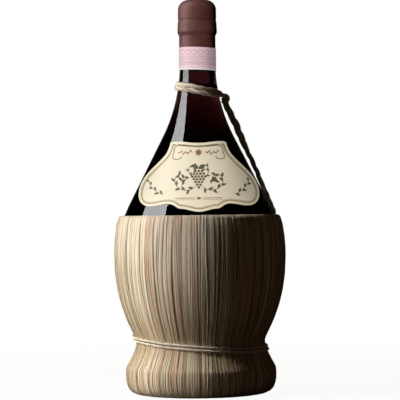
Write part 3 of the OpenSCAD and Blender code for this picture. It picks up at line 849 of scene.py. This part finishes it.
def belly_line(inset):
    """A leaf's route over the belly and the foot to the sole, as (radius, height, looseness). An
    inset moves it inwards, and up on the sole."""
    route = []
    for i in range(BELLY_STEPS + 1):
        z = BELLY_TOP - (BELLY_TOP - BELLY_LOW) * i / BELLY_STEPS
        tight = 1.0 - WAIST_PRESS * exp(-((z - WAIST_Z) / WAIST_REACH) ** 2)
        eased = min(1.0, RIM_LOOSE + (BELLY_TOP - z) / RIM_EASE)
        route.append((lining_cad.outer(z) + LEAF_MIDDLE - inset, z, tight * eased))
    return route + [(r * MM - inset, z * MM + (inset if z < 1 else 0.0), loose)
                    for r, z, loose in FOOT_ROUTE]


def fold_line(crest, end):
    """The fold over the rim, and two points that ease it into the belly."""
    route = [(crest + r * MM, z * MM, FOLD_LOOSE) for r, z in FOLD_ROUTE]
    start = route[-1]
    for i in (1, 2):
        share = i / 3
        route.append((start[0] + (end[0] - start[0]) * sin(pi / 2 * share),
                      start[1] + (end[1] - start[1]) * share,
                      FOLD_LOOSE + (RIM_LOOSE - FOLD_LOOSE) * share))
    return route


def coil_line():
    """A straw rope coiled inside the foot, row over row, round the bottom of the glass."""
    foot = Skin("foot_ring")
    line, angle = [], 0.0
    for row in range(ROWS):
        z = (ROW_LOW + ROW_STEP * row) * MM
        near, wide = foot.inner(z) + ROPE_R, foot.outer(z) - ROPE_R
        turns = max(1, round((wide - near) / (2 * ROPE_R)) + 1)
        for i in range(turns * LOOP_STEPS):
            share = i / (turns * LOOP_STEPS - 1)
            share = share if row % 2 == 0 else 1 - share
            line.append(at(near + (wide - near) * share, angle, z))
            angle += 360.0 / LOOP_STEPS
    return line


def grow_leaves(name, tree, line):
    """A layer of leaves along a line of (radius, height, looseness)."""
    grow(name, tree, [(r, 0.0, z) for r, z, _ in line], "loose", [loose for _, _, loose in line])


def add_straw():
    """Whole leaves, slivers over them, the lining, and the ropes in the rim and the foot."""
    tree = leaf_layer(material("straw", straw))
    belly = belly_line(0.0)
    crest = glass.outer(RIM_Z - FOLD_R) + FOLD_R
    face = fold_line(crest, belly[0]) + belly
    inside = crest + FOLD_ROUTE[0][0] * MM
    tuck = [(inside, TUCK_TOP - TUCK * (1 - i / 3), 0.0) for i in range(3)]
    grow_leaves("straw_leaves", tree, tuck + face)
    grow_leaves("straw_slivers", tree, [(r + SLIVER_OUT, z, loose) for r, z, loose in face])
    dark = leaf_layer(material("straw_lining", straw_lining_painted_shade))
    grow_leaves("straw_lining", dark, belly_line(LINING_IN))
    rope = twisted_cord(material("straw_rope", rope_straw))
    hoop_r = glass.outer(RIM_Z - FOLD_R) + HOOP_OUT
    turn = [360.0 * i / HOOP_STEPS for i in range(HOOP_STEPS)]
    hoop = [at(hoop_r, angle, RIM_Z - FOLD_R) for angle in (*turn, HOOP_END)]
    grow("rim_rope", rope, hoop, "thick", [1.0] * len(hoop))
    coil = coil_line()
    grow("foot_coil", rope, coil, "thick", [1.0] * len(coil))


# Glass, wine, paper and stopper

# The height from which rays find the bowl, the wine's reach into the wall, its surface's dip, and
# its steps round the bowl, up the wall and round the axis
WINE_CENTRE_Z, WINE_OVERLAP, WINE_DIP = 108.0 * MM, 0.15 * MM, 0.6 * MM
WINE_BOWL_STEPS, WINE_WALL_STEPS, WINE_SIDES = 24, 60, 128
WINE_TINT, WINE_DENSITY = (0.615, 0.33, 0.385), 250.0


def add_wine():
    """The wine fills the glass. It reaches a hair into the wall, so that no film of air shows."""
    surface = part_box("wine")[1].z
    centre = Vector((0.0, 0.0, WINE_CENTRE_Z))
    outline = [(0.0, glass.inner_along(centre, 90.0).z - WINE_OVERLAP)]
    for i in range(1, WINE_BOWL_STEPS):
        hit = glass.inner_along(centre, 90.0 - 90.0 * i / WINE_BOWL_STEPS)
        outline.append((hit.x + WINE_OVERLAP, hit.z))
    for i in range(WINE_WALL_STEPS + 1):
        z = centre.z + (surface - centre.z) * i / WINE_WALL_STEPS
        outline.append((glass.inner(z) + WINE_OVERLAP, z))
    outline.append((0.0, surface - WINE_DIP))
    finish = material("red_wine", red_wine)
    absorb = Nodes(finish.node_tree).add("ShaderNodeVolumeAbsorption", {
        "Color": WINE_TINT, "Density": WINE_DENSITY})
    output = finish.node_tree.nodes["Material Output"]
    finish.node_tree.links.new(absorb.socket, output.inputs["Volume"])
    finish_piece(lathe("red_wine", outline, WINE_SIDES, finish), "wine", "wine")


def add_rigid():
    """The pieces that keep the source's shape get their looks."""
    for node, name, paint in (
            ("glass_flask", "bottle_glass", bottle_glass), ("neck_strip", "strip_paper", strip_paper),
            ("front_label", "label_paper", label_paper), ("stopper_head", "stopper_wood", stopper_wood),
            ("stopper_cork", "cork", cork)):
        dress(node, material(name, paint))
    capsule = material("capsule", capsule_skin)
    for node in CAPSULE_NODES:
        dress(node, capsule)


# What is printed on the label: a border, a frame and plain leaf ornament

# The label's half width and the heights of its tip and top, in millimetres
LABEL_HALF_W, LABEL_TIP_Z, LABEL_TOP_Z = 47.2, 143.6, 198.5
# Its edge as curves that share their ends: the scalloped side from the tip up, in shares of the
# half width and of the height, and the top in millimetres
LABEL_SIDE = [
    (0, 0), (0.11, 0), (0.19, 0.045), (0.3, 0.045), (0.37, 0.045), (0.39, 0.115), (0.5, 0.115),
    (0.62, 0.115), (0.72, 0.075), (0.83, 0.085), (0.94, 0.095), (1, 0.17), (1, 0.26),
    (1, 0.41), (0.89, 0.53), (0.75, 0.64), (0.61, 0.75), (0.51, 0.82), (0.48, 0.92)]
LABEL_TOP = [(22.3, 194.5), (22.3, 198.5), (20.3, 198.5), (18.3, 198.5), (10.98, 198.5),
             (7.32, 197), (0, 197)]
# The label's face outside the glass, and the ink's face and back from there
PAPER_FACE, INK_FACE, INK_BACK = 0.336 * MM, 0.05 * MM, -0.06 * MM
# Right halves of the ornament, as seen from the front, in millimetres
FRAME = [(0, 194.2), (8, 194.7), (15.2, 195.2), (18.2, 193.8), (19, 190.2), (20, 187), (19.4, 185),
         (16.6, 184.4), (14, 185.2), (13.4, 186.6)]
MAIN_SCROLL = [(1.5, 164.5), (5, 161.4), (10, 160.2), (15.4, 162), (18.4, 166.4), (17.4, 171),
               (13.4, 172.6), (10.4, 170), (11, 167.2), (13.2, 167.4), (13.4, 169)]
UPPER_SCROLL = [(2.2, 168.5), (6.4, 172), (7.6, 176.4), (5.2, 179.6), (2.4, 178.4), (3, 176),
                (4.6, 176.6)]
SIDE_SPRIG = [(27, 157), (31, 158.6), (35, 161.6), (38, 165.6), (39.2, 170)]
# Each vine's route, steps between its points, width, points from leaf to leaf, length of a leaf
# and the first leaf's point
VINES = [(MAIN_SCROLL, 6, 0.55, 4, 4.6, 5), (UPPER_SCROLL, 6, 0.45, 5, 3.4, 5),
         (SIDE_SPRIG, 5, 0.4, 3, 4.2, 2)]
ROSETTE_Z, ROSETTE_LEAVES, RULE_Z = 189.6, 8, 154.2
# Grapes in each row, the top row's height, the steps across and down, and the radius
GRAPES, GRAPE_TOP_Z, GRAPE_ACROSS, GRAPE_DOWN, GRAPE_R = (3, 4, 5, 4, 3, 2, 1), 175.0, 2.5, 2.1, 1.05


def bezier(a, b, c, d, steps):
    a, b, c, d = (Vector(p) for p in (a, b, c, d))
    line = []
    for i in range(1, steps + 1):
        t = i / steps
        s = 1 - t
        line.append(s * s * s * a + 3 * s * s * t * b + 3 * s * t * t * c + t * t * t * d)
    return line


def label_outline():
    """The label's edge as the source draws it, as seen from the front, in millimetres."""
    high = LABEL_TOP_Z - LABEL_TIP_Z
    side = [(x * LABEL_HALF_W, LABEL_TIP_Z + z * high) for x, z in LABEL_SIDE]
    half = [Vector((0.0, LABEL_TIP_Z))]
    for route, steps in ((side, 8), (LABEL_TOP, 6)):
        for i in range(0, len(route) - 1, 3):
            half += bezier(*route[i:i + 4], steps)
    return half + mirrored(reversed(half[1:-1]))


def across_line(points, i, closed):
    """The unit normal of a line at a point."""
    last = len(points) - 1
    after = points[(i + 1) % len(points)] if closed else points[min(i + 1, last)]
    before = points[i - 1] if closed or i else points[0]
    along = (after - before).normalized()
    return Vector((-along.y, along.x))


class Print:
    """Ink of one colour: thin closed strips and shapes that lie on the label's face."""

    def __init__(self):
        self.vertices = []
        self.faces = []

    def place(self, point, lift):
        """Add a vertex over a point as seen from the front, in millimetres."""
        radius = glass.outer(point.y * MM) + PAPER_FACE + lift
        x = point.x * MM
        self.vertices.append((x, -sqrt(radius * radius - x * x), point.y * MM))

    def stroke(self, points, width, closed=False, thin_ends=False):
        """A strip of ink along a line, with closed ends, or round a closed line."""
        start, count = len(self.vertices), len(points)
        for i, point in enumerate(points):
            share = min(1.0, 0.25 + 6.0 * min(i, count - 1 - i) / count) if thin_ends else 1.0
            reach = across_line(points, i, closed) * (width * share / 2)
            for side, lift in (
                    (reach, INK_FACE), (-reach, INK_FACE), (-reach, INK_BACK), (reach, INK_BACK)):
                self.place(point + side, lift)
        for i in range(count if closed else count - 1):
            a, b = start + 4 * i, start + 4 * ((i + 1) % count)
            self.faces += [(a + k, b + k, b + (k + 1) % 4, a + (k + 1) % 4) for k in range(4)]
        if not closed:
            end = start + 4 * (count - 1)
            self.faces += [tuple(range(start, start + 4)), tuple(range(end + 3, end - 1, -1))]

    def shape(self, outline):
        """A patch of ink inside an outline, fanned out from its middle."""
        start, count = len(self.vertices), len(outline)
        centre = sum(outline, Vector((0.0, 0.0))) / count
        for lift in (INK_FACE, INK_BACK):
            for point in (centre, *outline):
                self.place(point, lift)
        low = count + 1
        for i in range(count):
            a, b = start + 1 + i, start + 1 + (i + 1) % count
            self.faces += [(start, a, b), (start + low, b + low, a + low), (a, a + low, b + low, b)]

    def leaf(self, root, angle, length, width):
        """A pointed leaf that grows from root at an angle in degrees."""
        along = at(1.0, angle, 0.0).xy
        aside = Vector((-along.y, along.x))
        edge = [(i / 6, sin(pi * (i / 6) ** 0.8)) for i in range(7)]
        edge += [(t, -w) for t, w in reversed(edge[1:-1])]
        self.shape([root + along * (t * length) + aside * (w * width / 2) for t, w in edge])

    def dot(self, centre, radius):
        self.shape([centre + at(1.0, 36.0 * i, 0.0).xy * radius for i in range(10)])

    def piece(self, name, *look):
        made = mesh_piece(name, self.vertices, self.faces, ink(name, *look), smooth=False)
        work = bmesh.new()
        work.from_mesh(made.data)
        bmesh.ops.recalc_face_normals(work, faces=work.faces)
        work.to_mesh(made.data)
        work.free()
        return finish_piece(made, "label_paper")


def mirrored(points):
    return [Vector((-p.x, p.y)) for p in points]


def leafy_vine(prints, points, width, every, length, first):
    """A line with leaves on both sides by turns, and its mirror image."""
    for side in (1, -1):
        line = [Vector((p.x * side, p.y)) for p in points]
        prints.stroke(line, width, thin_ends=True)
        for n, i in enumerate(range(first, len(line) - 2, every)):
            along = line[i + 1] - line[i - 1]
            lean = degrees(atan2(along.y, along.x)) + (42 if n % 2 else -42)
            prints.leaf(line[i], lean, length * (1.0 - 0.35 * i / len(line)), length * 0.42)


def add_label_print():
    """Two border lines, the frame, a rosette between sprays, scrolls with grapes, and a rule."""
    gold, olive, russet = Print(), Print(), Print()
    outline = label_outline()
    for inset, width, ink_print in ((2.4, 0.75, gold), (3.3, 0.22, olive)):
        line = [p + across_line(outline, i, True) * inset for i, p in enumerate(outline)]
        ink_print.stroke(line, width, closed=True)
    half = curve_points(FRAME, 5)
    olive.stroke(mirrored(reversed(half)) + half[1:], width=0.6)
    middle = Vector((0.0, ROSETTE_Z))
    for k in range(ROSETTE_LEAVES):
        russet.leaf(middle, 360.0 / ROSETTE_LEAVES * (k + 0.5), length=3.1, width=1.3)
    olive.dot(middle, radius=0.7)
    stem = [Vector((4.2 + 0.6 * i, ROSETTE_Z + 0.5 * sin(i * 0.45))) for i in range(20)]
    leafy_vine(russet, stem, width=0.3, every=3, length=2.8, first=2)
    for route, steps, width, every, length, first in VINES:
        leafy_vine(olive, curve_points(route, steps), width, every, length, first)
    for row, count in enumerate(GRAPES):
        for i in range(count):
            across = GRAPE_ACROSS * (i - (count - 1) / 2)
            olive.dot(Vector((across, GRAPE_TOP_Z - GRAPE_DOWN * row)), GRAPE_R)
    for lean in (-1, 1):
        olive.leaf(Vector((0.0, GRAPE_TOP_Z + 2.0)), 90 - lean * 62, length=6.4, width=3.4)
    for side in (1, -1):
        rule = [Vector((side * (2.6 + i), RULE_Z)) for i in range(17)]
        russet.stroke(rule, width=0.5, thin_ends=True)
        olive.stroke([p + Vector((0.0, -1.3)) for p in rule], width=0.2)
    russet.leaf(Vector((-2.0, RULE_Z - 0.2)), 0.0, length=4.0, width=2.0)
    gold.piece("label_gold", rgb(146, 122, 56), rgb(178, 154, 92), 0.4)
    olive.piece("label_olive", rgb(84, 80, 60), rgb(126, 120, 96), 0.5)
    russet.piece("label_russet", rgb(146, 88, 78), rgb(182, 134, 120), 0.5)


bpy.context.scene.view_settings.view_transform = "Standard"
add_camera()
add_floor()
add_cords()
add_straw()
add_wine()
add_rigid()
add_label_print()
add_lights()
